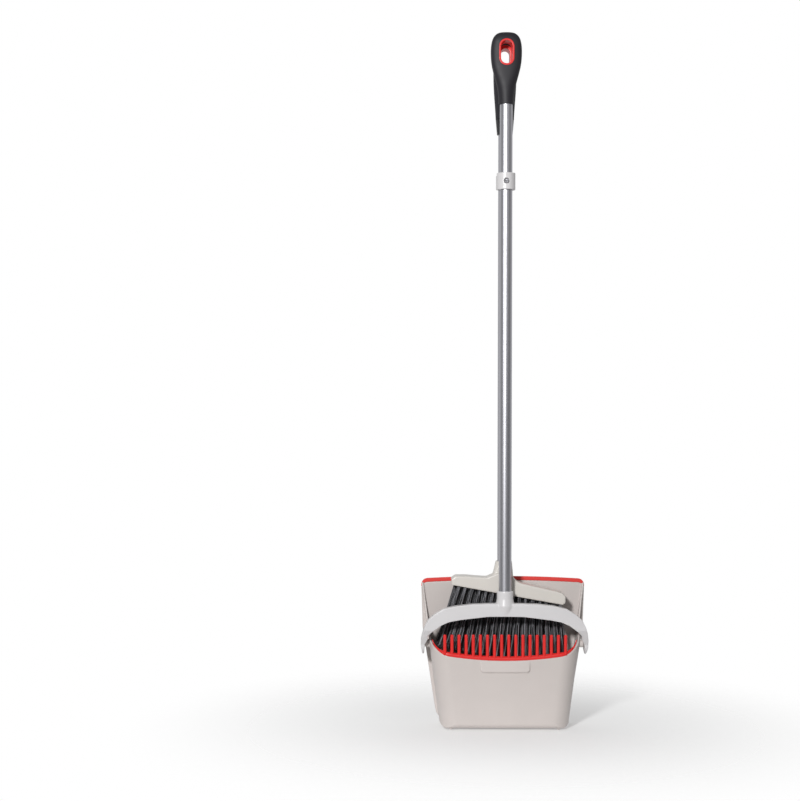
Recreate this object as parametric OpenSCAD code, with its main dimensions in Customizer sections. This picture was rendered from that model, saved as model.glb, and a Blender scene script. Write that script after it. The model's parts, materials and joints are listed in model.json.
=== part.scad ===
// Upright dust pan and broom set: a hooded pan hung from a bail on its own
// pole, with a telescopic angled broom clipped behind it. Heights are worked
// out from the floor datum (the pan's feet) and the whole set is then lowered
// so that its origin is the centre of the dust pan grip's hanging hole.

/* [Overall] */
// Height of the dust pan with its pole and grip
overall_h = 954; // [820:1:1150]
// Width of the pan across its lip
pan_w = 228; // [190:1:275]
// Height of the pan's floor plate, feet to lip, as it hangs
plate_h = 204.5; // [188:0.5:245]
// Distance from the pivot forward to the pan's front wall
front_reach = 27.5; // [24:0.5:30]

/* [Poles] */
// Outer diameter of the dust pan pole
pan_pole_d = 17.5; // [14:0.1:21]
// Outer diameter of the broom's lower pole
broom_pole_d = 18; // [15:0.1:21.6]
// Wall of every pole
pole_wall = 1.1; // [0.8:0.1:1.6]
// Distance between the two poles' axes
pole_gap = 30; // [28:0.5:36]
// How far the broom's upper pole pulls out
extend_travel = 330; // [200:5:360]

/* [Grips] */
// Length of the dust pan grip
pan_grip_l = 98.5; // [85:1:118]
// Width of the dust pan grip at its widest
pan_grip_w = 42.8; // [38:0.2:51]
// Thickness of both grips
grip_t = 22; // [21:0.5:26.4]
// Width of the broom grip at its widest
broom_grip_w = 32; // [30:0.2:38]
// Width of the hanging holes
hole_w = 15.6; // [13:0.2:18]
// Height of the hanging holes
hole_h = 31.4; // [27:0.2:36]

/* [Bail and pivot] */
// Height of the pivot above the floor
pivot_z = 115; // [108:0.5:122]
// Distance of the pivot behind the pan pole's axis
pivot_y = 18; // [16:0.5:20]
// Diameter of the pivot pins
pivot_d = 6; // [5:0.1:7.2]
// Height of the bail's band in the middle
bail_band = 17.8; // [15:0.1:20]
// Depth of the bail, front to back
bail_depth = 14; // [12:0.5:16]

/* [Pan] */
// Wall of the pan
pan_wall = 2.5; // [2:0.1:3]
// Visible height of the soft lip
lip_h = 5.5; // [4:0.1:8]
// Height of the front wall in its middle
front_h = 94.5; // [80:0.5:98]
// Number of comb teeth
teeth = 18; // [14:1:20]
// Width of one comb tooth
tooth_w = 4.3; // [3.4:0.1:5.2]
// Height of the comb's teeth above the floor
comb_top = 130.5; // [124:0.5:134]

/* [Broom] */
// Room between the broom head's ends and the pan's edges
head_gap = 37; // [32:0.5:48]
// Depth of the broom head, front to back
head_depth = 30; // [26:0.5:33]
// Slope of the broom head, from the left end down to the right end
head_slope = 10.1; // [0:0.1:12]
// Length of the bristles
bristle_l = 88; // [74:1:96]
// Tufts in one row
tufts = 16; // [13:1:18]

/* [Hidden] */
$fn = 48;

fit = 0.05;            // gap round a fixed piece in its seat
run = 0.08;            // radial gap round a piece that turns or slides
air = 0.4;             // gap between bodies that only pass each other

// Heights from the floor
hole_top_gap = 9.8;    // grip above its hanging hole
broom_liner_wall = 4.6;
liner_wall = 2.6;       // rim of the hanging hole's liner
hang_z = overall_h - hole_top_gap - liner_wall - hole_h / 2;
pan_grip_z = overall_h - pan_grip_l;
clip_h = 23;
clip_z = overall_h - 204;
broom_grip_l = 107;
broom_top_z = overall_h - 7;
broom_grip_z = broom_top_z - broom_grip_l;
broom_hole_z = overall_h - 33;
collar_h = 21;
collar_z = broom_grip_z - air - collar_h;

// Radii
pan_pole_r = pan_pole_d / 2;
broom_pole_r = broom_pole_d / 2;
lower_bore_r = broom_pole_r - pole_wall;
upper_pole_r = lower_bore_r - run;
pan_bore_r = pan_pole_r - pole_wall;
upper_bore_r = upper_pole_r - pole_wall;

// Bail
arch_top = pivot_z + 58;
arch_low = arch_top - bail_band;
socket_top = arch_top + 16.6;
socket_r = pan_pole_r + 2.6;
socket_root_r = socket_r + 2;
pan_seat_z = arch_low + 6.5;
head_air = 5;          // room between the broom head and the floor plate
plate_y = pole_gap + head_depth / 2 + head_air;
plate_rear_y = plate_y + pan_wall;
front_y = pivot_y - front_reach;
pan_half = pan_w / 2;
wall_half = pan_half - 11;     // basin's side wall at the pivot
arm_in = wall_half + 6.6;      // bail arm's inner face at the pivot
arm_t = 5.2;
boss_r = pivot_d / 2 + 2.2;
arm_r = boss_r + 9;
bail_rear_y = 4;               // the band stands forward, clear of the tilted pan
bail_front_y = bail_rear_y - bail_depth;

// Broom head
head_mid_z = 182.5;              // underside of the head below its pole
neck_top = head_mid_z + 45.5;
broom_seat_z = neck_top - 24;
neck_r = broom_pole_r + 2.2;
screw_r = 1.9;
screw_head_r = 3.7;
screw_head_h = 2.2;
seat_proud = 1.2;       // how far a rear screw's head stands out

module stand() { translate([0, 0, -hang_z]) children(); }
module at_broom() { translate([0, pole_gap, 0]) children(); }

// A plate drawn in front view (x, z), from y0 back to y1
module front_slab(y0, y1) {
    translate([0, y1, 0]) rotate([90, 0, 0]) linear_extrude(y1 - y0) children();
}
// A profile drawn in side view (y, z), from x0 to x1
module side_slab(x0, x1) {
    translate([x0, 0, 0]) rotate([90, 0, 90]) linear_extrude(x1 - x0) children();
}
module x_cyl(r, x0, x1) { translate([x0, 0, 0]) rotate([0, 90, 0]) cylinder(r = r, h = x1 - x0); }
module y_cyl(r, y0, y1) { translate([0, y0, 0]) rotate([-90, 0, 0]) cylinder(r = r, h = y1 - y0); }
module tube(r_out, r_in, z0, z1) {
    difference() {
        translate([0, 0, z0]) cylinder(r = r_out, h = z1 - z0);
        translate([0, 0, z0 - 1]) cylinder(r = r_in, h = z1 - z0 + 2);
    }
}
module stadium(w, h) {
    translate([0, (h - w) / 2]) circle(d = w);
    translate([0, (w - h) / 2]) circle(d = w);
    square([w, h - w], center = true);
}
function mirrored(half) = concat(half, [for (i = [len(half) - 1:-1:0]) [-half[i][0], half[i][1]]]);
// Points of a quarter round of radius r about (cx, cz), from angle a0 to a1
function arc(cx, cz, r, a0, a1, n = 6) =
    [for (i = [0:n]) let (a = a0 + (a1 - a0) * i / n) [cx + r * cos(a), cz + r * sin(a)]];

// ---- pan pole, bail and clip --------------------------------------------

// Outline of the bail in front view: its outer edge and its inner edge, from the middle out
function bail_outer() = let (x = arm_in + arm_t) concat(
    [[0, arch_top], [x * 0.2, arch_top - 0.2], [x * 0.39, arch_top - 1], [x * 0.58, arch_top - 3.6]],
    [[x * 0.735, arch_top - 7.6], [x * 0.84, arch_top - 15], [x * 0.915, arch_top - 22.6]],
    [[x * 0.955, arch_top - 31.4], [x * 0.985, arch_top - 41.8], [x, arch_top - 52], [x, pivot_z - 4]],
    [[x - 2, pivot_z - arm_r]]);
function bail_inner() = let (x = wall_half) concat(
    [[arm_in + 1, pivot_z - arm_r], [arm_in, pivot_z], [x + 3, pivot_z + 7], [x + 2.4, pivot_z + 13]],
    [[x * 0.992, arch_low - 24], [x * 0.932, arch_low - 18.4], [x * 0.848, arch_low - 12.3]],
    [[x * 0.745, arch_low - 7.7], [x * 0.61, arch_low - 5], [x * 0.44, arch_low - 2.8]],
    [[x * 0.24, arch_low - 0.4], [0, arch_low]]);

module bail_front() {
    polygon(concat(bail_outer(), bail_inner()));
    mirror([1, 0]) polygon(concat(bail_outer(), bail_inner()));
}

// Side view: upright band, with arms that sweep back to the pivot
module bail_side() {
    z_bend = pivot_z + 21;
    polygon(concat([[bail_front_y + 2, arch_top + 1], [bail_front_y, arch_top - 3], [bail_front_y, z_bend]],
        arc(pivot_y, pivot_z, arm_r, 180, 360, 10),
        [[bail_rear_y, z_bend + 8], [bail_rear_y, arch_top - 3], [bail_rear_y - 2, arch_top + 1]]));
}

module yoke() {
    color([0.89, 0.88, 0.89]) stand() difference() {
        union() {
            intersection() {
                front_slab(-bail_depth, pivot_y + 2 * arm_r) bail_front();
                side_slab(-pan_w, pan_w) bail_side();
            }
            translate([0, 0, arch_top - 4]) cylinder(r1 = socket_root_r, r2 = socket_r, h = 10);
            translate([0, 0, arch_top + 5]) cylinder(r = socket_r, h = socket_top - arch_top - 6);
            translate([0, 0, socket_top - 1]) cylinder(r1 = socket_r, r2 = socket_r - 0.8, h = 1);
            translate([0, 0, arch_low]) cylinder(r1 = pan_pole_r + 1, r2 = socket_root_r, h = bail_band - 4);
        }
        translate([0, 0, pan_seat_z]) cylinder(r = pan_pole_r + fit, h = socket_top);
        translate([0, pivot_y, pivot_z]) x_cyl(pivot_d / 2 + fit, -pan_w, pan_w);
        translate([0, pivot_y, pivot_z]) x_cyl(boss_r + air, -arm_in, arm_in);
        translate([0, 0, socket_top - 8]) {
            y_cyl(screw_r + fit, 0, socket_r + 4);
            y_cyl(screw_head_r + fit, socket_r + seat_proud - screw_head_h, socket_r + 4);
        }
    }
}

module pivot_pin(side) {
    color([0.86, 0.85, 0.86]) stand() translate([0, pivot_y, pivot_z]) scale([side, 1, 1]) {
        x_cyl(pivot_d / 2, wall_half - pan_wall - 1, arm_in + arm_t - 0.8);
        x_cyl(pivot_d / 2 + 1.4, wall_half - pan_wall - 2.6, wall_half - pan_wall - 1);
    }
}
module pivot_pin_left() { pivot_pin(-1); }
module pivot_pin_right() { pivot_pin(1); }

module pan_pole() {
    color([0.75, 0.75, 0.77]) stand() difference() {
        tube(pan_pole_r, pan_bore_r, pan_seat_z, pan_pole_top);
        translate([0, 0, socket_top - 8]) y_cyl(screw_r + fit, 0, pan_pole_r + 1);
        translate([0, 0, clip_z]) y_cyl(screw_r + fit, -pan_pole_r - 1, 0);
    }
}

// A screw whose axis is +Y: its head is at y1, its tip at y0
module screw(y0, y1) {
    head_h = screw_head_h;
    difference() {
        union() {
            y_cyl(screw_r, y0, y1 - head_h + 0.1);
            y_cyl(screw_head_r, y1 - head_h, y1 - 0.6);
            translate([0, y1 - 0.6, 0]) rotate([-90, 0, 0])
                cylinder(r1 = screw_head_r, r2 = screw_head_r - 0.7, h = 0.6);
        }
        for (a = [0, 90]) rotate([0, a + 12, 0]) translate([-2.3, y1 - 1.2, -0.45]) cube([4.6, 2, 0.9]);
    }
}
module yoke_screw() {
    color([0.6, 0.6, 0.62]) stand() translate([0, 0, socket_top - 8])
        screw(pan_bore_r - 3, socket_r + seat_proud);
}

clip_r = pan_pole_r + 4;
clip_screw_proud = 0.5;
grasp_r = broom_pole_r + 3;
module clip_collar() {
    z0 = clip_z - clip_h / 2;
    color([0.92, 0.91, 0.91]) stand() difference() {
        union() {
            translate([0, 0, z0]) cylinder(r = clip_r, h = clip_h);
            at_broom() translate([0, 0, z0 + 4]) cylinder(r = grasp_r, h = clip_h - 4);
            translate([-5, 0, z0 + 4]) cube([10, pole_gap, clip_h - 4]);
        }
        translate([0, 0, z0 - 1]) cylinder(r = pan_pole_r + fit, h = clip_h + 2);
        at_broom() translate([0, 0, z0 - 1]) cylinder(r = broom_pole_r + run, h = clip_h + 2);
        mouth = broom_pole_r * 0.78;
        translate([-mouth, pole_gap + 3, z0 - 1]) cube([2 * mouth, grasp_r, clip_h + 2]);
        translate([0, 0, clip_z]) {
            y_cyl(screw_r + fit, -clip_r - 1, 0);
            y_cyl(screw_head_r + fit, -clip_r - 4, -clip_r - clip_screw_proud + screw_head_h + fit);
        }
    }
}
module clip_screw() {
    color([0.6, 0.6, 0.62]) stand() translate([0, 0, clip_z]) rotate([0, 0, 180])
        screw(pan_bore_r - 3, clip_r + clip_screw_proud);
}

pan_pole_top = hang_z - hole_h / 2 - liner_wall - 8;
broom_pole_top = broom_hole_z - hole_h / 2 - broom_liner_wall - 8;

// A stopper pushed into the top of a pole, with a collar that rests on it
module grip_stopper(bore_r, pole_r, z) {
    color([0.25, 0.25, 0.27]) {
        translate([0, 0, z - 28]) cylinder(r = bore_r - fit, h = 28);
        translate([0, 0, z]) cylinder(r = pole_r, h = 3);
    }
}
module pan_grip_core() { stand() grip_stopper(pan_bore_r, pan_pole_r, pan_pole_top); }

// Half widths of the dust pan grip at heights measured down from its top
function pan_grip_half(w) = [[w * 0.30, 0], [w * 0.52, -0.9], [w * 0.70, -3.3], [w * 0.84, -7.2],
    [w * 0.93, -12], [w * 0.985, -19], [w, -27], [w * 0.985, -36], [w * 0.95, -43], [w * 0.88, -51],
    [w * 0.79, -58], [w * 0.69, -66], [w * 0.6, -73], [w * 0.545, -81]];
module grip_body(half, z0, z1, t, neck_r) {
    intersection() {
        front_slab(-t, t) polygon(mirrored(half));
        side_slab(-100, 100) polygon([[-neck_r, z0], [neck_r, z0], [neck_r, z0 + (z1 - z0) * 0.2],
            [t / 2, z0 + (z1 - z0) * 0.5], [t / 2, z1 - 14], [t / 2 - 1.6, z1 - 7], [t / 2 - 4, z1 - 2.6],
            [t / 2 - 8, z1], [8 - t / 2, z1], [4 - t / 2, z1 - 2.6], [1.6 - t / 2, z1 - 7],
            [-t / 2, z1 - 14], [-t / 2, z0 + (z1 - z0) * 0.5], [-neck_r, z0 + (z1 - z0) * 0.2]]);
    }
}
module pan_grip() {
    neck = pan_pole_r + 1.7;
    half = concat([for (p = pan_grip_half(pan_grip_w / 2))
        [max(p[0], p[1] < -80 ? neck : 0), overall_h + p[1]]],
        [[neck, pan_grip_z]]);
    color([0.16, 0.15, 0.17]) stand() difference() {
        grip_body(half, pan_grip_z, overall_h, grip_t, neck);
        translate([0, 0, hang_z]) front_slab(-grip_t, grip_t) stadium(hole_w + 2 * liner_wall + 2 * fit,
            hole_h + 2 * liner_wall + 2 * fit);
        translate([0, 0, pan_grip_z - 1]) cylinder(r = pan_pole_r + fit,
            h = pan_pole_top + 3 + fit - pan_grip_z + 1);
    }
}
module grip_liner(w, h, t, wall) {
    color([0.88, 0.20, 0.18]) difference() {
        front_slab(-t / 2 - 0.3, t / 2 + 0.3) stadium(w + 2 * wall, h + 2 * wall);
        front_slab(-t, t) stadium(w, h);
    }
}
module pan_grip_liner() { stand() translate([0, 0, hang_z]) grip_liner(hole_w, hole_h, grip_t, liner_wall); }

// ---- pan ----------------------------------------------------------------

// Half width of the floor plate at a height
function plate_half(z) = z > pivot_z + 18
    ? pan_half - 2 * (plate_h - z) / (plate_h - pivot_z - 18)
    : pan_half - 2 - 19.5 * (pivot_z + 18 - z) / (pivot_z + 8);
plate_r = 9;
foot_r = 20;           // lower corners of the floor plate
corner_r = 9.5;        // lower corners of the front wall
plate_low = 2;
lip_crown = 3;          // rise of the lip's middle over its corners
// Outline of the floor plate, with its top edge lowered by the given amount
function plate_outline(lowered) = let (x_arc = plate_half(plate_h) - plate_r) mirrored(concat(
    [for (t = [0:0.2:0.8]) [x_arc * t, plate_h - lowered - lip_crown * t * t]],
    arc(x_arc, plate_h - lowered - lip_crown - plate_r, plate_r, 88, 5),
    [[plate_half(pivot_z + 18), pivot_z + 18]],
    arc(plate_half(plate_low + foot_r) - foot_r, plate_low + foot_r, foot_r, -10, -90)));

// Half width of the basin at a height
function basin_half(z) = wall_half - 15 * (pivot_z - z) / pivot_z;
basin_r = 25;          // upright corners
heel_r = 8;            // fillet along the bottom
basin_top = plate_h - 8;
// Outer (grow = 0) or inner (grow = -wall) form of the basin
module basin(grow) {
    rear = plate_rear_y + 0.1 - 2 * grow;
    low = plate_low - grow;
    module slice(z) {
        half = basin_half(z) + grow;
        translate([0, 0, z]) linear_extrude(0.1) polygon(mirrored(concat(
            arc(half - basin_r - grow, front_y + basin_r, basin_r + grow, -90, 0, 12), [[half, rear]])));
    }
    intersection() {
        hull() {
            slice(low);
            slice(basin_top);
        }
        front_slab(front_y - 1, rear + 1) polygon(mirrored(concat([[pan_w, basin_top + 1]],
            [[pan_w, plate_low + corner_r + 60]],
            arc(basin_half(plate_low + corner_r)
                - corner_r, plate_low + corner_r, corner_r + grow, 5, -90, 8))));
        side_slab(-pan_w, pan_w) polygon(concat([[rear + 1, basin_top + 1], [front_y - grow, basin_top + 1]],
            arc(front_y + heel_r, plate_low + heel_r, heel_r + grow, 180, 270), [[rear + 1, low]]));
    }
}
// The rim dips in the middle of the front wall and climbs towards the back
rim_dip_w = 57;
rim_climb = 38;        // its slope, front to back, in degrees
rim_n = 16;
function rim_z(x) = front_h + 3.2 * pow(x / rim_dip_w, 2);
// All that lies above the rim, raised by the given amount
module above_rim(lift) {
    c = cos(rim_climb);
    translate([0, front_y, 0]) rotate([rim_climb, 0, 0]) front_slab(-120, 120) polygon(concat(
        [for (i = [-rim_n:rim_n]) let (x = pan_half * i / rim_n) [x, (rim_z(x) + lift) * c]],
        [[pan_half, 3 * plate_h], [-pan_half, 3 * plate_h]]));
}
// Side view of what is cut away above the low walls that run up to the lip
module above_sides() {
    polygon([[-80, 2 * plate_h], [-80, pivot_z + 24], [plate_y - 12, pivot_z + 24.5],
        [plate_y - 5, pivot_z + 56],
        [plate_y - 2, basin_top - 2], [plate_y - 0.1, basin_top - 0.5], [plate_y - 0.1, 2 * plate_h]]);
}
module pan_shell() {
    ledge_w = 67;
    ledge_proud = 2.3;
    peg_x = basin_half(0) - 14.5;
    ledge_z = front_h - 15.5;
    color([0.85, 0.83, 0.81]) stand() difference() {
        union() {
            difference() {
                basin(0);
                difference() {
                    basin(-pan_wall);
                    translate([-pan_w, plate_y, 0]) cube([2 * pan_w, 40, plate_h]);
                }
                above_rim(0);
                side_slab(-pan_w, pan_w) above_sides();
                translate([-pan_w, plate_rear_y, 0]) cube([2 * pan_w, 40, plate_h + 60]);
            }
            front_slab(plate_y, plate_rear_y) polygon(plate_outline(0));
            intersection() {
                front_slab(front_y - ledge_proud, front_y + 0.5)
                    polygon(mirrored([[ledge_w / 2, ledge_z + 15],
                    [ledge_w / 2, ledge_z + 3], [ledge_w / 2 - 3, ledge_z]]));
                side_slab(-ledge_w, ledge_w) polygon([[front_y + 0.5, ledge_z + 15],
                    [front_y - 0.2, ledge_z + 15],
                    [front_y - ledge_proud, ledge_z + 2], [front_y - ledge_proud, ledge_z],
                    [front_y + 0.5, ledge_z]]);
            }
            for (s = [-1, 1]) translate([s * peg_x, front_y + heel_r + 1, 0])
                cylinder(r = 2.2, h = plate_low + 1);
            for (s = [-1, 1]) scale([s, 1, 1]) translate([0, pivot_y, pivot_z])
                x_cyl(boss_r, wall_half - 1.5, arm_in - air);
        }
        translate([0, pivot_y, pivot_z]) x_cyl(pivot_d / 2 + run, -pan_w, pan_w);
        lip_seat();
    }
}
lip_proud = 0.2;
lip_root = plate_h - lip_h - lip_crown - plate_r;   // the lip tapers out at the corners
module lip_region(lowered) {
    difference() {
        polygon([[-pan_w, lip_root + 1], [pan_w, lip_root + 1], [pan_w, plate_h + 9],
            [-pan_w, plate_h + 9]]);
        polygon(plate_outline(lowered));
    }
}
module lip_seat() {
    front_slab(plate_y - lip_proud - fit, plate_rear_y + 1) lip_region(lip_h);
}
module pan_lip() {
    color([0.87, 0.24, 0.21]) stand() front_slab(plate_y - lip_proud, plate_rear_y) intersection() {
        lip_region(lip_h - fit);
        polygon(plate_outline(0));
    }
}
comb_t = 3.4;
strip_h = 4.5;
comb_pitch = 9.7 * pan_w / 228;
module cleaning_comb() {
    rear_y = front_y + 21;     // how far the strip runs round the corners
    color([0.87, 0.20, 0.18]) stand() intersection() {
        above_rim(fit);
        comb_wall(rear_y);
        union() {
            front_slab(front_y, front_y + comb_t + 2) for (i = [0:teeth - 1]) comb_tooth(i);
            difference() {
                translate([-pan_w, front_y - 1, 0]) cube([2 * pan_w, 30, plate_h]);
                above_rim(fit + strip_h);
            }
        }
    }
}
module comb_tooth(i) {
    x = comb_pitch * (i - (teeth - 1) / 2);
    top = comb_top + pow(abs(2 * i / (teeth - 1) - 1), 4) - tooth_w * 0.4;
    low = rim_z(x) + strip_h - 2 + (i == 0 || i == teeth - 1 ? 1 : 0);
    polygon([[x - tooth_w / 2, low], [x + tooth_w / 2, low], [x + tooth_w * 0.4, top],
        [x - tooth_w * 0.4, top]]);
    translate([x, top]) circle(r = tooth_w * 0.4, $fn = 24);
}
// Upright wall that follows the front wall and its corners in plan
module comb_wall(rear_y) {
    half = basin_half(front_h) + 0.4;
    function corner(r) = mirrored(concat([[0, front_y + basin_r - r]],
        arc(half - basin_r, front_y + basin_r, r, -90, asin((rear_y - front_y - basin_r) / basin_r), 8),
        [[half - basin_r, rear_y]]));
    translate([0, 0, front_h - 4]) linear_extrude(60) difference() {
        polygon(corner(basin_r));
        translate([0, 0.01]) polygon(corner(basin_r - comb_t));
    }
}

// ---- broom --------------------------------------------------------------

// Underside of the head, level at the pole and falling to the right
function head_under(x) = head_mid_z - x * tan(head_slope);
head_w = pan_w - 2 * head_gap;
head_left = -head_w * 0.468;
head_right = head_w * 0.532;
module broom_head() {
    neck = neck_r;
    color([0.90, 0.89, 0.86]) stand() at_broom() difference() {
        union() {
            front_slab(-head_depth / 2, head_depth / 2) polygon([
                [head_left, head_under(head_left)], [head_left - 1, head_under(head_left) + 8],
                [head_left + 0.6, head_mid_z + 22], [head_left + 4.6, head_mid_z + 25],
                [-54, head_mid_z + 25.2],
                [-38, head_mid_z + 23.8], [-24, head_mid_z + 23], [-10, head_mid_z + 29],
                [10, head_mid_z + 29], [13, head_mid_z + 22.5], [18, head_mid_z + 17.6],
                [25, head_mid_z + 14.8],
                [head_right - 8, head_under(head_right) + 18.4],
                [head_right - 1, head_under(head_right) + 16],
                [head_right + 3, head_under(head_right) + 11],
                [head_right + 2.6, head_under(head_right) + 3],
                [head_right - 1, head_under(head_right - 1)]]);
            translate([0, 0, head_mid_z + 12]) cylinder(r = neck, h = neck_top - head_mid_z - 12);
            intersection() {
                front_slab(-neck, neck) polygon([[-21, head_mid_z + 22], [-14.5, head_mid_z + 29],
                    [-neck, neck_top], [neck, neck_top], [12, head_mid_z + 30], [13, head_mid_z + 21]]);
                translate([0, 0, head_mid_z]) cylinder(r1 = neck + 16, r2 = neck, h = neck_top - head_mid_z);
            }
        }
        translate([0, 0, broom_seat_z]) cylinder(r = broom_pole_r + fit, h = 60);
        translate([0, 0, neck_top - 9]) {
            y_cyl(screw_r + fit, 0, neck + 4);
            y_cyl(screw_head_r + fit, neck + seat_proud - screw_head_h, neck + 6);
        }
    }
}
module head_screw() {
    color([0.6, 0.6, 0.62]) stand() at_broom() translate([0, 0, neck_top - 9])
        screw(lower_bore_r - 3, neck_r + seat_proud);
}
// One row of tufts, y off the head's middle, fanned from left to right
module tuft_row(y, shift) {
    r_root = 2.2;
    r_tip = 3.6;
    for (i = [0:tufts - 1]) {
        t = (i + shift) / tufts;
        x = head_left + 5 + (head_right - head_left - 10) * t;
        lean = 17 - 22 * t;
        translate([x, y, head_under(x) - 1.3]) rotate([0, 180 + lean, 0])
            cylinder(r1 = r_root, r2 = r_tip, h = bristle_l, $fn = 24);
    }
    // binding web that keeps a row in one piece
    front_slab(y - 1.2, y + 1.2) polygon([[head_left + 3, head_under(head_left + 3) - air],
        [head_right - 3, head_under(head_right - 3) - air], [head_right - 3, head_under(head_right - 3) - 6],
        [head_left + 3, head_under(head_left + 3) - 6]]);
}
row_gap = head_depth * 0.3;
module bristles_front() { color([0.28, 0.28, 0.30]) stand() at_broom() tuft_row(-row_gap, 0.5); }
module bristles_middle() { color([0.24, 0.24, 0.26]) stand() at_broom() tuft_row(0, 0.25); }
module bristles_rear() { color([0.28, 0.28, 0.30]) stand() at_broom() tuft_row(row_gap, 0.5); }

lower_pole_top = collar_z + 10;
module broom_lower_pole() {
    color([0.75, 0.75, 0.77]) stand() at_broom() difference() {
        tube(broom_pole_r, lower_bore_r, broom_seat_z, lower_pole_top);
        translate([0, 0, neck_top - 9]) y_cyl(screw_r + fit, 0, broom_pole_r + 1);
    }
}
module lock_collar() {
    r_low = broom_pole_r + 1.8;
    r_high = broom_pole_r + 3.6;
    color([0.14, 0.14, 0.15]) stand() at_broom() difference() {
        translate([0, 0, collar_z]) cylinder(r1 = r_low, r2 = r_high, h = collar_h);
        for (a = [0:20:340]) rotate([0, 0, a]) translate([r_low + 0.3, 0, collar_z + 3.5])
            rotate([0, atan((r_high - r_low) / collar_h), 0]) cylinder(r = 0.5, h = collar_h - 7, $fn = 12);
        translate([0, 0, collar_z - 1]) cylinder(r = broom_pole_r + run, h = 11 + run);
        translate([0, 0, collar_z + 5]) cylinder(r = upper_pole_r + run, h = collar_h);
    }
}

upper_low = collar_z - extend_travel - 50;
module broom_upper_pole() {
    color([0.78, 0.78, 0.80]) stand() at_broom() tube(upper_pole_r, upper_bore_r, upper_low, broom_pole_top);
}
module lock_cam() {
    color([0.9, 0.9, 0.88]) stand() at_broom() {
        translate([0, 0, upper_low - 14]) cylinder(r = upper_pole_r - 0.2, h = 14 - fit);
        translate([0, 0, upper_low - 1]) cylinder(r = upper_bore_r - fit, h = 22);
    }
}
module broom_grip_core() { stand() at_broom() grip_stopper(upper_bore_r, upper_pole_r, broom_pole_top); }
module broom_grip() {
    neck = broom_pole_r + 3.7;
    w = broom_grip_w / 2;
    l = broom_grip_l;
    half = [[w * 0.35, l], [w * 0.62, l - 1.6], [w * 0.84, l - 5.5], [w * 0.95, l - 12], [w, l - 22],
        [w, l - 44], [w * 0.985, l - 58], [w * 0.94, l - 72], [w * 0.875, l - 86], [neck + 0.4, 6],
        [neck, 0]];
    color([0.16, 0.15, 0.17]) stand() at_broom() difference() {
        grip_body([for (p = half) [p[0], p[1] + broom_grip_z]], broom_grip_z, broom_top_z, grip_t, neck);
        translate([0, 0, broom_hole_z]) front_slab(-grip_t, grip_t)
            stadium(broom_hole_w + 2 * broom_liner_wall + 2 * fit,
            hole_h + 2 * broom_liner_wall + 2 * fit);
        translate([0, 0, broom_grip_z - 1]) cylinder(r = upper_pole_r + fit,
            h = broom_pole_top + 3 + fit - broom_grip_z + 1);
    }
}
broom_hole_w = hole_w - 3;
module broom_grip_liner() {
    stand() at_broom() translate([0, 0, broom_hole_z])
        grip_liner(broom_hole_w, hole_h, grip_t, broom_liner_wall);
}

yoke();
pivot_pin_left();
pivot_pin_right();
pan_pole();
yoke_screw();
clip_collar();
clip_screw();
pan_grip_core();
pan_grip();
pan_grip_liner();
pan_shell();
pan_lip();
cleaning_comb();
broom_head();
bristles_front();
bristles_middle();
bristles_rear();
broom_lower_pole();
head_screw();
lock_collar();
broom_upper_pole();
lock_cam();
broom_grip_core();
broom_grip();
broom_grip_liner();
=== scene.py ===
import json
import math
import bmesh
import bpy
from mathutils import Euler, Matrix, Vector


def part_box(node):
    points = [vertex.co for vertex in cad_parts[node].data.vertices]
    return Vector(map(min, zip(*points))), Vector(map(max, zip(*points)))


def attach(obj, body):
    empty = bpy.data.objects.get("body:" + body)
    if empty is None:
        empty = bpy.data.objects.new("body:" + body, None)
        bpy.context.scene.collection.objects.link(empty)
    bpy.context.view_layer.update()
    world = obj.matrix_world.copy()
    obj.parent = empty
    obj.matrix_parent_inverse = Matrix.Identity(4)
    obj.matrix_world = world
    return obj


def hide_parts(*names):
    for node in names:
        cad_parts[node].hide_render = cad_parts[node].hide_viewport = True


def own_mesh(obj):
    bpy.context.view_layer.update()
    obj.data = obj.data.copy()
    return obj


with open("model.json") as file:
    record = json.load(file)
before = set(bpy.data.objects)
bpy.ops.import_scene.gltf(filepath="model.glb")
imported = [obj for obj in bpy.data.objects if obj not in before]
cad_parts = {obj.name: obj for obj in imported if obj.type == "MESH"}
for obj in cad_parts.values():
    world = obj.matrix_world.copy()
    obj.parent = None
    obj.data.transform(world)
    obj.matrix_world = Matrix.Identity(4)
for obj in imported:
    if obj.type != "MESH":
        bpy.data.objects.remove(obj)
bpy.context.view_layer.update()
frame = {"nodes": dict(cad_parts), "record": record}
scene = bpy.context.scene

# Heights are given in millimetres above the pan's feet, and the frame says where those are.
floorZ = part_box("pan_shell")[0][2]
broomY = sum(corner[1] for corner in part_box("broom_lower_pole")) / 2 * 1000
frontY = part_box("cleaning_comb")[0][1] * 1000


def spot(x, y, z):
    return Vector((x / 1000, y / 1000, z / 1000 + floorZ))


def tone(red, green, blue):
    def linear(c):
        c /= 255
        return c / 12.92 if c <= 0.04045 else ((c + 0.055) / 1.055) ** 2.4
    return (linear(red), linear(green), linear(blue), 1)


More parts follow.
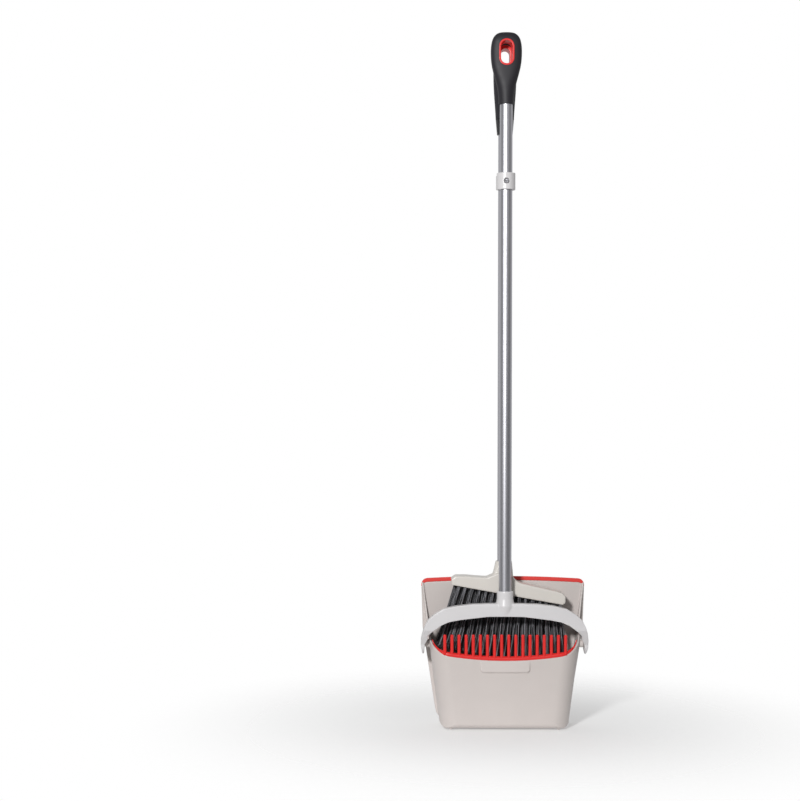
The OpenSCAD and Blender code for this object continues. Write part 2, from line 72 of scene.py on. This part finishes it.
# one output socket that can be added, scaled and mixed like a number
class Wire:
    def __init__(self, tree, socket=None):
        self.tree = tree
        self.socket = socket

    def node(self, kind, settings=None, inputs=None, output=0):
        made = self.tree.nodes.new(kind)
        for name, value in (settings or {}).items():
            setattr(made, name, value)
        for name, value in (inputs or {}).items():
            if isinstance(value, Wire):
                self.tree.links.new(value.socket, made.inputs[name])
            else:
                made.inputs[name].default_value = value
        return Wire(self.tree, made.outputs[output])

    def combine(self, operation, other, flipped=False):
        pair = (other, self) if flipped else (self, other)
        isVector = any(type(one) is tuple
                       or isinstance(one, Wire) and one.socket.type in ("VECTOR", "RGBA")
                       for one in pair)
        kind = "ShaderNodeVectorMath" if isVector else "ShaderNodeMath"
        if isVector:
            pair = [(one,) * 3 if isinstance(one, (int, float)) else one for one in pair]
        return self.node(kind, {"operation": operation}, {0: pair[0], 1: pair[1]})

    def __add__(self, other):
        return self.combine("ADD", other)

    def __radd__(self, other):
        return self.combine("ADD", other, True)

    def __sub__(self, other):
        return self.combine("SUBTRACT", other)

    def __rsub__(self, other):
        return self.combine("SUBTRACT", other, True)

    def __mul__(self, other):
        return self.combine("MULTIPLY", other)

    def __rmul__(self, other):
        return self.combine("MULTIPLY", other, True)

    def __truediv__(self, other):
        return self.combine("DIVIDE", other)

    def __pow__(self, other):
        return self.combine("POWER", other)

    def between(self, low, high):
        # this wire's 0 to 1 picks a colour between low and high
        return self.node("ShaderNodeMix", {"data_type": "RGBA"}, {0: self, 6: low, 7: high}, 2)

    def noise(self, scale, detail=2):
        return self.node("ShaderNodeTexNoise", {},
                         {"Vector": self, "Scale": scale, "Detail": detail})


def freshMaterial(name, **values):
    # a new material with fixed shader values; gives the material, its tree and its shader
    made = bpy.data.materials.new(name)
    made.use_nodes = True
    shader = made.node_tree.nodes["Principled BSDF"]
    for socketName, value in values.items():
        shader.inputs[socketName.replace("_", " ")].default_value = value
    return made, made.node_tree, shader


def darkened(colour, kept):
    return tuple(c * kept for c in colour[:3]) + (1,)


def finish(name, colour, roughness, coat=0, grain=None, mottle=0.03):
    # grain is (cells per metre, depth in metres)
    made, tree, shader = freshMaterial(name, Coat_Weight=coat, Coat_Roughness=0.15)
    place = Wire(tree).node("ShaderNodeTexCoord", output="Object")
    cloud = place.noise(35)
    mixed = cloud.between(darkened(colour, 1 - 2 * mottle), colour)
    tree.links.new(mixed.socket, shader.inputs["Base Color"])
    tree.links.new((roughness - 0.04 + 0.08 * place.noise(90)).socket, shader.inputs["Roughness"])
    if grain:
        cells, depth = grain
        bump = place.node("ShaderNodeBump", {}, {"Strength": 0.6, "Distance": depth,
                                                 "Height": place.noise(cells, 3)})
        tree.links.new(bump.socket, shader.inputs["Normal"])
    return made


def brushedMetal(name, colour, roughness):
    made, tree, shader = freshMaterial(name, Metallic=1)
    place = Wire(tree).node("ShaderNodeTexCoord", output="Object")
    streak = (place * (1, 1, 0.012)).noise(900, 4)  # long streaks up the pole
    mixed = streak.between(darkened(colour, 0.86), colour)
    tree.links.new(mixed.socket, shader.inputs["Base Color"])
    tree.links.new((roughness + 0.06 * streak).socket, shader.inputs["Roughness"])
    return made


def bristleFinish(name, dark, pale):
    # each filament's "shade" picks its place between dark and pale
    made, tree, shader = freshMaterial(name, Roughness=0.45)
    shade = Wire(tree).node("ShaderNodeAttribute", {"attribute_name": "shade"}, output="Fac")
    tree.links.new(shade.between(dark, pale).socket, shader.inputs["Base Color"])
    return made


finishes = {
    "white_plastic": finish("glossyWhite", tone(219, 217, 218),
                            0.32, coat=0.15, grain=(700, 0.00002)),
    "pan_plastic": finish("warmGreyPlastic", tone(206, 198, 194),
                          0.4, coat=0.05, grain=(900, 0.00004)),
    "head_plastic": finish("offWhitePlastic", tone(222, 217, 210),
                           0.36, coat=0.08, grain=(700, 0.00003)),
    "red_plastic": finish("satinRed", tone(228, 42, 40), 0.36, coat=0.1, grain=(700, 0.00002)),
    "red_soft": finish("softRed", tone(226, 60, 54), 0.55, grain=(1500, 0.00004)),
    "black_grip": finish("softTouchBlack", tone(33, 31, 37),
                         0.58, grain=(2200, 0.00007), mottle=0.06),
    "black_plastic": finish("blackPlastic", tone(34, 34, 37),
                            0.38, coat=0.1, grain=(900, 0.00003)),
    "pole_metal": brushedMetal("brushedPole", tone(208, 208, 214), 0.38),
    "screw_steel": brushedMetal("screwSteel", tone(178, 178, 182), 0.24),
    "bristle": bristleFinish("bristleGrey", tone(11, 11, 15), tone(184, 184, 190)),
    "cam_plastic": finish("camPlastic", tone(232, 230, 222), 0.4),
}
for part in frame["record"]["subparts"]:
    node = frame["nodes"][part["node"]]
    node.data.materials.clear()
    node.data.materials.append(finishes[part["material_slot"]])
slotOf = {part["node"]: part["material_slot"] for part in frame["record"]["subparts"]}
bodyOf = {node: body for body, nodes in frame["record"]["behaviour"]["bodies"].items()
          for node in nodes}
print("finishes made")


def settle(work):
    # the finished mesh of an object with modifiers, which is then thrown away
    graph = bpy.context.evaluated_depsgraph_get()
    mesh = bpy.data.meshes.new_from_object(work.evaluated_get(graph), depsgraph=graph)
    bpy.data.objects.remove(work)
    return mesh


def placed(name, mesh):
    made = bpy.data.objects.new(name, mesh)
    scene.collection.objects.link(made)
    return made


def pieceFor(name, mesh, node):
    # a visible piece that stands for this node, in its finish and on its body
    made = placed(name, mesh)
    mesh.materials.clear()
    mesh.materials.append(finishes[slotOf[node]])
    mesh.shade_smooth()
    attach(made, bodyOf[node])
    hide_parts(node)
    print("made", name, len(mesh.polygons))
    return made


def softened(node, cell, rounds, share=1):
    # the node's form with its edges moulded round: cell in millimetres, share of the faces kept
    welded = bmesh.new()
    welded.from_mesh(frame["nodes"][node].data)
    bmesh.ops.remove_doubles(welded, verts=welded.verts, dist=0.000002)
    copied = bpy.data.meshes.new(node + "Soft")
    welded.to_mesh(copied)
    welded.free()
    work = placed(node + "Soft", copied)
    remesh = work.modifiers.new("cells", "REMESH")
    remesh.mode = "VOXEL"
    remesh.voxel_size = cell / 1000
    relax = work.modifiers.new("relax", "SMOOTH")
    relax.factor = 0.5
    relax.iterations = rounds
    if share < 1:
        thin = work.modifiers.new("thin", "DECIMATE")
        thin.ratio = share
    return settle(work)


def loft(name, rings):
    # a skin over rings of equal length, with a cap at both ends
    mesh = bpy.data.meshes.new(name)
    size = len(rings[0])
    points = [point for ring in rings for point in ring]
    faces = []
    for i in range(len(rings) - 1):
        here, above = i * size, (i + 1) * size
        for k in range(size):
            n = (k + 1) % size
            faces.append((here + k, here + n, above + n, above + k))
    faces.append(tuple(reversed(range(size))))
    faces.append(tuple(range(len(points) - size, len(points))))
    mesh.from_pydata(points, [], faces)
    sound = bmesh.new()
    sound.from_mesh(mesh)
    bmesh.ops.recalc_face_normals(sound, faces=sound.faces)
    sound.to_mesh(mesh)
    sound.free()
    return mesh


def along(table, t):
    # straight steps between (place, value) pairs
    for (a, low), (b, high) in zip(table, table[1:]):
        if t <= b:
            return low + (high - low) * (t - a) / (b - a)
    return table[-1][1]


def eased(table, t, width):
    # the same, averaged over a width on either side
    return sum(along(table, t + width * (i / 4 - 1)) for i in range(9)) / 9


# half widths go by distance from the top, as shares of half the grip's width
gripShape = {
    "thickness": 22, "holeHeight": 31.4, "linerFit": 0.05, "sharpAngle": 40,
    "around": 72, "steps": 90, "stepPower": 1.6,      # rings stand closer towards the top
    "roundness": 3.2, "neckRoundness": 2,             # powers of the section, paddle to pole
    "crownLength": 14, "crownDrop": 7.4,              # how the top rounds over, front to back
    "neckStart": 0.42, "neckSpan": 0.4,               # where the section turns round
    "sharpEnd": 2.4, "easeTop": 1.2, "easeMore": 5, "easeOver": 60,
}
panGrip = {
    "node": "pan_grip", "liner": "pan_grip_liner", "axisY": 0,
    "holeWidth": 15.6, "linerWall": 2.6,
    "halfWidths": [(0, 0.26), (0.8, 0.50), (3, 0.69), (7, 0.84), (12, 0.93), (19, 0.985),
                   (27, 1), (36, 0.985), (43, 0.95), (51, 0.88), (58, 0.79), (66, 0.69),
                   (73, 0.6), (81, 0.535), (90, 0.5), (100, 0.49)],
}
broomGrip = {
    "node": "broom_grip", "liner": "broom_grip_liner", "axisY": broomY,
    "holeWidth": 12.6, "linerWall": 4.6,
    "halfWidths": [(0, 0.3), (1.4, 0.60), (5, 0.83), (12, 0.95), (22, 1), (44, 1),
                   (58, 0.985), (72, 0.94), (86, 0.875), (103, 0.8), (108, 0.793)],
}


def superellipse(half, depth, power, y, z):
    ring = []
    for k in range(gripShape["around"]):
        a = 2 * math.pi * k / gripShape["around"]
        c, s = math.cos(a), math.sin(a)
        ring.append(spot(half * math.copysign(abs(c) ** (2 / power), c),
                         y + depth * math.copysign(abs(s) ** (2 / power), s), z))
    return ring


def stadiumRing(width, height, y, z, around=48):
    # an upright loop with round ends, as points in front view
    r = width / 2
    rise = (height - width) / 2
    ring = []
    for k in range(around):
        a = 2 * math.pi * k / around
        lift = r * math.sin(a) + math.copysign(rise, math.sin(a))
        ring.append(spot(r * math.cos(a), y, z + lift))
    return ring


def gripRing(grip, t, top, length, half, neck):
    # the grip's section at a distance t below its top
    shape = gripShape
    crown = min(t / shape["crownLength"], 1)
    depth = shape["thickness"] / 2
    body = depth - shape["crownDrop"] * (1 - math.sqrt(1 - (1 - crown) ** 2))
    shrink = max(0, min((t - length * shape["neckStart"]) / (length * shape["neckSpan"]), 1))
    shrink = shrink * shrink * (3 - 2 * shrink)
    power = shape["roundness"] + (shape["neckRoundness"] - shape["roundness"]) * shrink
    width = shape["easeTop"] + shape["easeMore"] * min(t / shape["easeOver"], 1)
    share = (eased(grip["halfWidths"], t, width) if t > shape["sharpEnd"]
             else along(grip["halfWidths"], t))
    return superellipse(half * share, body + (neck - body) * shrink, power,
                        grip["axisY"], top - t)


def gripPiece(name, grip):
    shape = gripShape
    low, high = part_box(grip["node"])
    top, bottom = ((corner[2] - floorZ) * 1000 for corner in (high, low))
    half = (high[0] - low[0]) / 2 * 1000
    neck = grip["halfWidths"][-1][1] * half
    length = top - bottom
    drops = [length * (i / shape["steps"]) ** shape["stepPower"]
             for i in range(shape["steps"] + 1)]
    rings = [gripRing(grip, t, top, length, half, neck) for t in drops]
    work = placed(name + "Work", loft(name, rings))
    lip = grip["linerWall"] + shape["linerFit"]
    hole = sum(corner[2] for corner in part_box(grip["liner"])) / 2 * 1000 - floorZ * 1000
    cutter = placed(name + "Hole", loft(name + "Hole", [
        stadiumRing(grip["holeWidth"] + 2 * lip, shape["holeHeight"] + 2 * lip,
                    grip["axisY"] + y, hole) for y in (-30, 30)]))
    cut = work.modifiers.new("hole", "BOOLEAN")
    cut.object = cutter
    cut.solver = "EXACT"
    mesh = settle(work)
    bpy.data.objects.remove(cutter)
    pieceFor(name, mesh, grip["node"])
    mesh.set_sharp_from_angle(angle=math.radians(shape["sharpAngle"]))


gripPiece("panGripBody", panGrip)
gripPiece("broomGripBody", broomGrip)
# pieces that are their CAD form with moulded edges: cell in millimetres, rounds of relaxing
moulded = {
    "panGripRing": {"node": "pan_grip_liner", "cell": 0.45, "rounds": 4},
    "broomGripRing": {"node": "broom_grip_liner", "cell": 0.45, "rounds": 4},
    "clip": {"node": "clip_collar", "cell": 0.5, "rounds": 5},
    "broomHead": {"node": "broom_head", "cell": 0.62, "rounds": 22},
    "lockRing": {"node": "lock_collar", "cell": 0.32, "rounds": 4},
    "panBasin": {"node": "pan_shell", "cell": 0.7, "rounds": 3, "share": 0.25},
    "softLip": {"node": "pan_lip", "cell": 0.45, "rounds": 6},
}


def mouldedPiece(name):
    piece = moulded[name]
    mesh = softened(piece["node"], piece["cell"], piece["rounds"], piece.get("share", 1))
    pieceFor(name, mesh, piece["node"])


mouldedPiece("panGripRing")
mouldedPiece("broomGripRing")

# the band's lower edge from its middle outwards, and the shallow bevel along the front of it
bailShape = {
    "node": "yoke", "cell": 0.62, "rounds": 7,
    "lowerEdge": [(0, 155.2), (25, 154.8), (45, 152.4), (63, 150.2), (77, 147.5), (87, 142.9),
                  (96, 136.8)],
    "bevelHeight": 5.2, "bevelDepth": 1.5, "blend": 4, "fadeOut": 8,
}


def bevelledBail():
    shape = bailShape
    mesh = softened(shape["node"], shape["cell"], shape["rounds"])
    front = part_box("yoke")[0][1] * 1000
    reach = shape["lowerEdge"][-1][0]
    for vertex in mesh.vertices:
        x, y, z = vertex.co * 1000
        rise = z - floorZ * 1000 - along(shape["lowerEdge"], abs(x))
        behind = y - front
        if abs(x) < reach and rise < shape["bevelHeight"] and behind < shape["blend"]:
            share = (1 - max(rise, 0) / shape["bevelHeight"]) * (1 - behind / shape["blend"])
            fade = min(1, (reach - abs(x)) / shape["fadeOut"])
            vertex.co.y += shape["bevelDepth"] / 1000 * share * fade
    return mesh


pieceFor("bail", bevelledBail(), "yoke")
for mouldedName in ("clip", "broomHead", "lockRing", "panBasin", "softLip"):
    mouldedPiece(mouldedName)
print("moulded pieces made")

combShape = {
    "teeth": 18, "pitch": 9.7, "toothWidth": 4.5, "toothDepth": 3.6, "top": 130.9,
    "depth": 3.2, "stripHeight": 4.2, "reach": 20.5, "around": 16, "squareness": 0.45,
    "endHeight": 0.1, "endRise": 3.6, "endDepth": 0.35,      # how the strip fades at its ends
    "rimMiddle": 94.5, "rimRise": 3.2, "riseWidth": 57, "climb": 38,
    "behindRim": 0.02, "overRim": 0.08, "toothInset": 0.05, "footAboveRim": 1.6,
    "domeBelowTop": 1.7, "sharpAngle": 50,
}
wallShape = {"halfAtRim": 100.2, "cornerRadius": 25, "cornerSteps": 16}


def rimHeight(x, y):
    shape = combShape
    return (shape["rimMiddle"] + shape["rimRise"] * (x / shape["riseWidth"]) ** 2
            + (y - frontY) * math.tan(math.radians(shape["climb"])))


def frontWallLine(reach, steps):
    # plan of the front wall from left to right: straight in the middle, round at the corners
    r = wallShape["cornerRadius"]
    flat = wallShape["halfAtRim"] - r
    turn = math.acos((r - reach) / r)
    corner = [(flat + r * math.sin(turn * i / steps), frontY + r - r * math.cos(turn * i / steps),
               turn * i / steps) for i in range(1, steps + 1)]
    middle = [(flat * i / steps, frontY, 0) for i in range(-steps, steps + 1)]
    left = [(-x, y, -a) for x, y, a in reversed(corner)]
    return left + middle + corner


def combStrip():
    shape = combShape
    line = frontWallLine(shape["reach"], wallShape["cornerSteps"])
    rings = []
    total = len(line) - 1
    for i, (x, y, a) in enumerate(line):
        fade = min(1, shape["endHeight"] + shape["endRise"] * min(i, total - i) / total)
        high = shape["stripHeight"] * fade
        deep = shape["depth"] * (shape["endDepth"] + (1 - shape["endDepth"]) * fade)
        inward = Vector((-math.sin(a), math.cos(a), 0))
        ring = []
        for k in range(shape["around"]):
            b = 2 * math.pi * k / shape["around"]
            c, s = math.cos(b), math.sin(b)
            u = 0.5 + 0.5 * math.copysign(abs(c) ** shape["squareness"], c)
            v = 0.5 + 0.5 * math.copysign(abs(s) ** shape["squareness"], s)
            px = x + inward.x * deep * u
            py = y + inward.y * deep * u + shape["behindRim"]
            ring.append(spot(px, py, rimHeight(px, py) + shape["overRim"] + high * v))
        rings.append(ring)
    return loft("combStrip", rings)


def treeFor(name, sockets):
    # a geometry node group; gives its tree, its inputs by name and their identifiers
    tree = bpy.data.node_groups.new(name, "GeometryNodeTree")
    tree.interface.new_socket("Geometry", in_out="OUTPUT", socket_type="NodeSocketGeometry")
    for socketName, kind in sockets:
        tree.interface.new_socket(socketName, in_out="INPUT", socket_type=kind)
    entry = tree.nodes.new("NodeGroupInput")
    inputs = {socket.name: Wire(tree, socket) for socket in entry.outputs if socket.name}
    names = {item.name: item.identifier for item in tree.interface.items_tree
             if item.in_out == "INPUT"}
    return tree, inputs, names


def repeated(name, group, values):
    # runs a geometry node group once and gives the mesh it makes
    tree, names = group
    work = placed(name, bpy.data.meshes.new(name))
    maker = work.modifiers.new("repeat", "NODES")
    maker.node_group = tree
    for socketName, value in values.items():
        maker[names[socketName]] = value
    return settle(work)


def endWith(tree, geometry, material):
    whole = geometry.node("GeometryNodeRealizeInstances", {}, {0: geometry})
    dressed = whole.node("GeometryNodeSetMaterial", {}, {"Geometry": whole, "Material": material})
    end = tree.nodes.new("NodeGroupOutput")
    tree.links.new(dressed.socket, end.inputs[0])


def teethGroup():
    tree, given, names = treeFor("combTeeth", [
        ("Teeth", "NodeSocketInt"), ("First", "NodeSocketVector"), ("Last", "NodeSocketVector"),
        ("Width", "NodeSocketFloat"), ("Depth", "NodeSocketFloat"), ("Top", "NodeSocketFloat"),
        ("Rise", "NodeSocketFloat"), ("Material", "NodeSocketMaterial")])
    start = Wire(tree)
    rod = start.node("GeometryNodeMeshCylinder", {"fill_type": "NONE"},
                     {"Vertices": 20, "Side Segments": 1, "Radius": 0.5, "Depth": 1}, "Mesh")
    rod = rod.node("GeometryNodeTransform", {}, {"Geometry": rod, "Translation": (0, 0, -0.5)})
    dome = start.node("GeometryNodeMeshUVSphere", {},
                      {"Segments": 20, "Rings": 12, "Radius": 0.5}, "Mesh")
    dome = dome.node("GeometryNodeTransform", {}, {"Geometry": dome, "Scale": (1, 1, 0.1)})
    joined = start.node("GeometryNodeJoinGeometry")
    tree.links.new(dome.socket, joined.socket.node.inputs[0])
    tree.links.new(rod.socket, joined.socket.node.inputs[0])
    line = start.node("GeometryNodeMeshLine", {"mode": "END_POINTS"}, {
        "Count": given["Teeth"], "Start Location": given["First"], "Offset": given["Last"]})
    place = start.node("GeometryNodeInputPosition")
    x = place.node("ShaderNodeSeparateXYZ", {}, {0: place}, "X")
    z = place.node("ShaderNodeSeparateXYZ", {}, {0: given["First"]}, "Z")
    foot = z + given["Rise"] * x * x
    # each tooth hangs from the common top down to the curved rim
    size = start.node("ShaderNodeCombineXYZ", {},
                      {0: given["Width"], 1: given["Depth"], 2: given["Top"] - foot})
    lifted = start.node("GeometryNodeSetPosition", {}, {
        "Geometry": line,
        "Offset": start.node("ShaderNodeCombineXYZ", {}, {2: given["Top"] - z})})
    stood = start.node("GeometryNodeInstanceOnPoints", {},
                       {"Points": lifted, "Instance": joined, "Scale": size})
    endWith(tree, stood, given["Material"])
    return tree, names


def comb():
    shape = combShape
    half = shape["pitch"] * (shape["teeth"] - 1) / 2
    y = frontY + shape["toothDepth"] / 2 + shape["toothInset"]
    foot = shape["rimMiddle"] + shape["footAboveRim"]
    top = spot(0, 0, shape["top"] - shape["domeBelowTop"]).z
    teeth = repeated("combTeeth", teethGroup(), {
        "Teeth": shape["teeth"], "First": spot(-half, y, foot), "Last": spot(half, y, foot),
        "Width": shape["toothWidth"] / 1000, "Depth": shape["toothDepth"] / 1000, "Top": top,
        "Rise": shape["rimRise"] / shape["riseWidth"] ** 2 * 1000,
        "Material": finishes["red_plastic"]})
    whole = bmesh.new()
    whole.from_mesh(combStrip())
    whole.from_mesh(teeth)
    bmesh.ops.remove_doubles(whole, verts=whole.verts, dist=0.000001)
    mesh = bpy.data.meshes.new("comb")
    whole.to_mesh(mesh)
    whole.free()
    pieceFor("comb", mesh, "cleaning_comb")
    mesh.set_sharp_from_angle(angle=math.radians(shape["sharpAngle"]))


comb()

bristleShape = {
    "tufts": 16, "length": 88, "slope": 10.1, "headMiddle": 182.5, "intoHead": -0.3,
    "leanLeft": 17, "leanRight": -5, "leftEnd": -67, "rightEnd": 77, "rowGap": 9,
    "rootRadius": 2.3, "splay": 0.3, "perTuft": 105, "filament": 0.34, "strandPoints": 7,
    "waves": 15, "waveWidth": 0.0009, "bend": 0.0016,       # of one filament along its length
    "strayX": 0.022, "strayY": 0.03, "tuftStray": 0.02, "shortest": 0.945, "shadePower": 3.4,
    "firstSeed": 11, "seedStep": 10,
}


def tuftGroup():
    shape = bristleShape
    tree, given, names = treeFor("tufts", [
        ("Tufts", "NodeSocketInt"), ("First", "NodeSocketVector"), ("Last", "NodeSocketVector"),
        ("Length", "NodeSocketFloat"), ("Lean Left", "NodeSocketFloat"),
        ("Lean Right", "NodeSocketFloat"), ("Root Radius", "NodeSocketFloat"),
        ("Splay", "NodeSocketFloat"), ("Filaments", "NodeSocketFloat"),
        ("Filament Radius", "NodeSocketFloat"), ("Seed", "NodeSocketInt"),
        ("Material", "NodeSocketMaterial")])
    start = Wire(tree)
    place = start.node("GeometryNodeInputPosition")
    # one filament: a thin line with a slight wave, that grows wilder towards its tip
    strand = start.node("GeometryNodeCurvePrimitiveLine", {},
                        {"Start": (0, 0, 0), "End": (0, 0, -1)})
    strand = start.node("GeometryNodeResampleCurve", {},
                        {"Curve": strand, "Count": shape["strandPoints"]})
    depth = place.node("ShaderNodeSeparateXYZ", {}, {0: place}, "Z")
    wave = depth.node("ShaderNodeMath", {"operation": "SINE"}, {0: depth * shape["waves"]})
    bend = start.node("ShaderNodeCombineXYZ", {}, {
        0: wave * depth * shape["waveWidth"], 1: depth * depth * shape["bend"]})
    strand = start.node("GeometryNodeSetPosition", {}, {"Geometry": strand, "Offset": bend})
    section = start.node("GeometryNodeCurvePrimitiveCircle", {},
                         {"Resolution": 3, "Radius": given["Filament Radius"]})
    strand = start.node("GeometryNodeCurveToMesh", {},
                        {"Curve": strand, "Profile Curve": section})
    # one tuft: filaments over a disc, splayed outwards
    disc = start.node("GeometryNodeMeshCircle", {"fill_type": "NGON"},
                      {"Vertices": 24, "Radius": given["Root Radius"]})
    area = given["Root Radius"] * given["Root Radius"] * math.pi
    roots = start.node("GeometryNodeDistributePointsOnFaces", {}, {
        "Mesh": disc, "Density": given["Filaments"] / area, "Seed": given["Seed"]})
    x = place.node("ShaderNodeSeparateXYZ", {}, {0: place}, "X")
    y = place.node("ShaderNodeSeparateXYZ", {}, {0: place}, "Y")

    def chance(low, high, number):
        return start.node("FunctionNodeRandomValue", {"data_type": "FLOAT"},
                          {2: low, 3: high, "Seed": given["Seed"] + number}, 1)

    spread = given["Splay"] / given["Length"]
    turn = start.node("ShaderNodeCombineXYZ", {}, {
        0: y * spread + chance(-shape["strayX"], shape["strayX"], 1),
        1: chance(-shape["strayY"], shape["strayY"], 2) - x * spread,
        2: chance(0, 6.28, 3)})
    size = start.node("ShaderNodeCombineXYZ", {}, {
        0: 1, 1: 1, 2: given["Length"] * chance(shape["shortest"], 1, 4)})
    tuft = start.node("GeometryNodeInstanceOnPoints", {}, {
        "Points": roots, "Instance": strand, "Rotation": turn, "Scale": size})
    stored = {"data_type": "FLOAT", "domain": "INSTANCE"}
    tuft = start.node("GeometryNodeStoreNamedAttribute", stored, {
        "Geometry": tuft, "Name": "shade", "Value": chance(0, 1, 5) ** shape["shadePower"]})
    tuft = start.node("GeometryNodeRealizeInstances", {}, {0: tuft})
    # one row of tufts, fanned from left to right, each turned its own way
    line = start.node("GeometryNodeMeshLine", {"mode": "END_POINTS"}, {
        "Count": given["Tufts"], "Start Location": given["First"], "Offset": given["Last"]})
    index = start.node("GeometryNodeInputIndex")
    share = index / (given["Tufts"] - 1)
    stray = chance(-shape["tuftStray"], shape["tuftStray"], 6)
    lean = given["Lean Left"] + (given["Lean Right"] - given["Lean Left"]) * share + stray
    row = start.node("GeometryNodeInstanceOnPoints", {}, {
        "Points": line, "Instance": tuft,
        "Rotation": start.node("ShaderNodeCombineXYZ", {}, {1: lean})})
    row = start.node("GeometryNodeRotateInstances", {}, {
        "Instances": row,
        "Rotation": start.node("ShaderNodeCombineXYZ", {}, {2: chance(0, 6.28, 7)}),
        "Local Space": True})
    endWith(tree, row, given["Material"])
    return tree, names


def bristleRows():
    shape = bristleShape
    group = tuftGroup()
    tilt = math.radians(shape["slope"])
    fall = math.tan(tilt)
    step = (shape["rightEnd"] - shape["leftEnd"]) / (shape["tufts"] - 0.5)
    rows = {"bristles_front": (-1, 0.5), "bristles_middle": (0, 0), "bristles_rear": (1, 0.5)}
    # which side of the head each row is on, and how far it is shifted in steps
    for turn, (node, (side, shift)) in enumerate(rows.items()):
        ends = [shape["leftEnd"] + step * shift, shape["rightEnd"] - step * (0.5 - shift)]
        y = broomY + side * shape["rowGap"]
        first, last = (spot(x, y, shape["headMiddle"] - x * fall + shape["intoHead"])
                       for x in ends)
        mesh = repeated(node, group, {
            "Tufts": shape["tufts"], "First": first, "Last": last,
            "Length": shape["length"] / 1000, "Lean Left": math.radians(shape["leanLeft"]),
            "Lean Right": math.radians(shape["leanRight"]),
            "Root Radius": shape["rootRadius"] / 1000, "Splay": shape["splay"],
            "Filaments": float(shape["perTuft"]), "Filament Radius": shape["filament"] / 1000,
            "Seed": shape["firstSeed"] + turn * shape["seedStep"],
            "Material": finishes["bristle"]})
        row = pieceFor(node.replace("bristles_", "tuftRow"), mesh, node)
        spot(0, broomY, shape["headMiddle"])
        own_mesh(row)


bristleRows()


studio = {
    "keyPlace": (-0.656, -1.836, 0.086), "keyTarget": (0, 0, -0.45), "keySize": 0.26,
    "keyPower": 36,
    "fillPlace": (1.3, -1.9, 0.5), "fillTarget": (0, 0, -0.5), "fillSize": 1.6, "fillPower": 3.5,
    "floorRadius": 0.55, "floorMiddle": 0.02, "floorBelow": 0.0006, "floorTone": 0.72,
    "floorGlow": 0.22, "backGlow": 0.66, "frontGlow": 0.13,
}
# metres; perMetre is the share of the picture's height that one metre takes at that distance
cameraSet = {"side": -0.1445, "distance": 2.25, "height": 0.4499, "roll": 0.0025,
             "sensor": 36, "perMetre": 0.9113608, "farthest": 20}


def lamp(name, place, target, size, power):
    light = bpy.data.lights.new(name, "AREA")
    light.shape = "DISK"
    light.size = size
    light.energy = power
    made = bpy.data.objects.new(name, light)
    scene.collection.objects.link(made)
    made.location = place
    made.rotation_euler = (Vector(target) - Vector(place)).to_track_quat("-Z", "Y").to_euler()


def paleFloor():
    mesh = bpy.data.meshes.new("paleFloor")
    disc = bmesh.new()
    bmesh.ops.create_circle(disc, cap_ends=True, segments=96, radius=studio["floorRadius"],
                            matrix=Matrix.Translation((0, studio["floorMiddle"],
                                                       floorZ - studio["floorBelow"])))
    disc.to_mesh(mesh)
    disc.free()
    made = placed("paleFloor", mesh)
    material, tree, shader = freshMaterial(
        "paleFloor", Base_Color=(studio["floorTone"],) * 3 + (1,), Roughness=0.9,
        Specular_IOR_Level=0.1, Emission_Color=(1, 1, 1, 1),
        Emission_Strength=studio["floorGlow"])
    place = Wire(tree).node("ShaderNodeTexCoord", output="Object")
    away = place.node("ShaderNodeVectorMath", {"operation": "LENGTH"},
                      {0: (place + (0, -studio["floorMiddle"], -floorZ)) * (1, 1, 0)}, "Value")
    edge = away.node("ShaderNodeMapRange", {"interpolation_type": "SMOOTHSTEP"},
                     {0: away, 1: 0.02, 2: studio["floorRadius"], 3: 1.0, 4: 0.0})
    tree.links.new(edge.socket, shader.inputs["Alpha"])
    mesh.materials.append(material)


def studioWorld():
    world = bpy.data.worlds.new("studio")
    scene.world = world
    world.use_nodes = True
    tree = world.node_tree
    tree.nodes.clear()
    start = Wire(tree)
    way = start.node("ShaderNodeTexCoord", output="Generated")
    depth = way.node("ShaderNodeSeparateXYZ", {}, {0: way}, "Y")
    glow = depth.node("ShaderNodeMapRange", {"interpolation_type": "SMOOTHSTEP"},
                      {0: depth, 1: -0.5, 2: 0.7, 3: studio["frontGlow"], 4: studio["backGlow"]})
    seen = start.node("ShaderNodeLightPath", output="Is Camera Ray")
    strength = glow + seen * (1 - glow)
    back = start.node("ShaderNodeBackground", {}, {"Color": (1, 1, 1, 1), "Strength": strength})
    end = tree.nodes.new("ShaderNodeOutputWorld")
    tree.links.new(back.socket, end.inputs[0])


def camera():
    view = bpy.data.cameras.new("camera")
    made = bpy.data.objects.new("camera", view)
    scene.collection.objects.link(made)
    made.location = (cameraSet["side"], -cameraSet["distance"], cameraSet["height"] + floorZ)
    level = Euler((math.radians(90), 0, 0)).to_matrix()
    made.rotation_euler = (level @ Euler((0, 0, cameraSet["roll"])).to_matrix()).to_euler()
    view.sensor_fit = "VERTICAL"
    view.sensor_height = cameraSet["sensor"]
    view.lens = cameraSet["sensor"] * cameraSet["distance"] * cameraSet["perMetre"]
    view.clip_end = cameraSet["farthest"]
    scene.camera = made


paleFloor()
studioWorld()
for lampName in ("key", "fill"):
    lamp(lampName, *(studio[lampName + part] for part in ("Place", "Target", "Size", "Power")))
camera()
print("floor, light and camera made")
scene.view_settings.view_transform = "Standard"
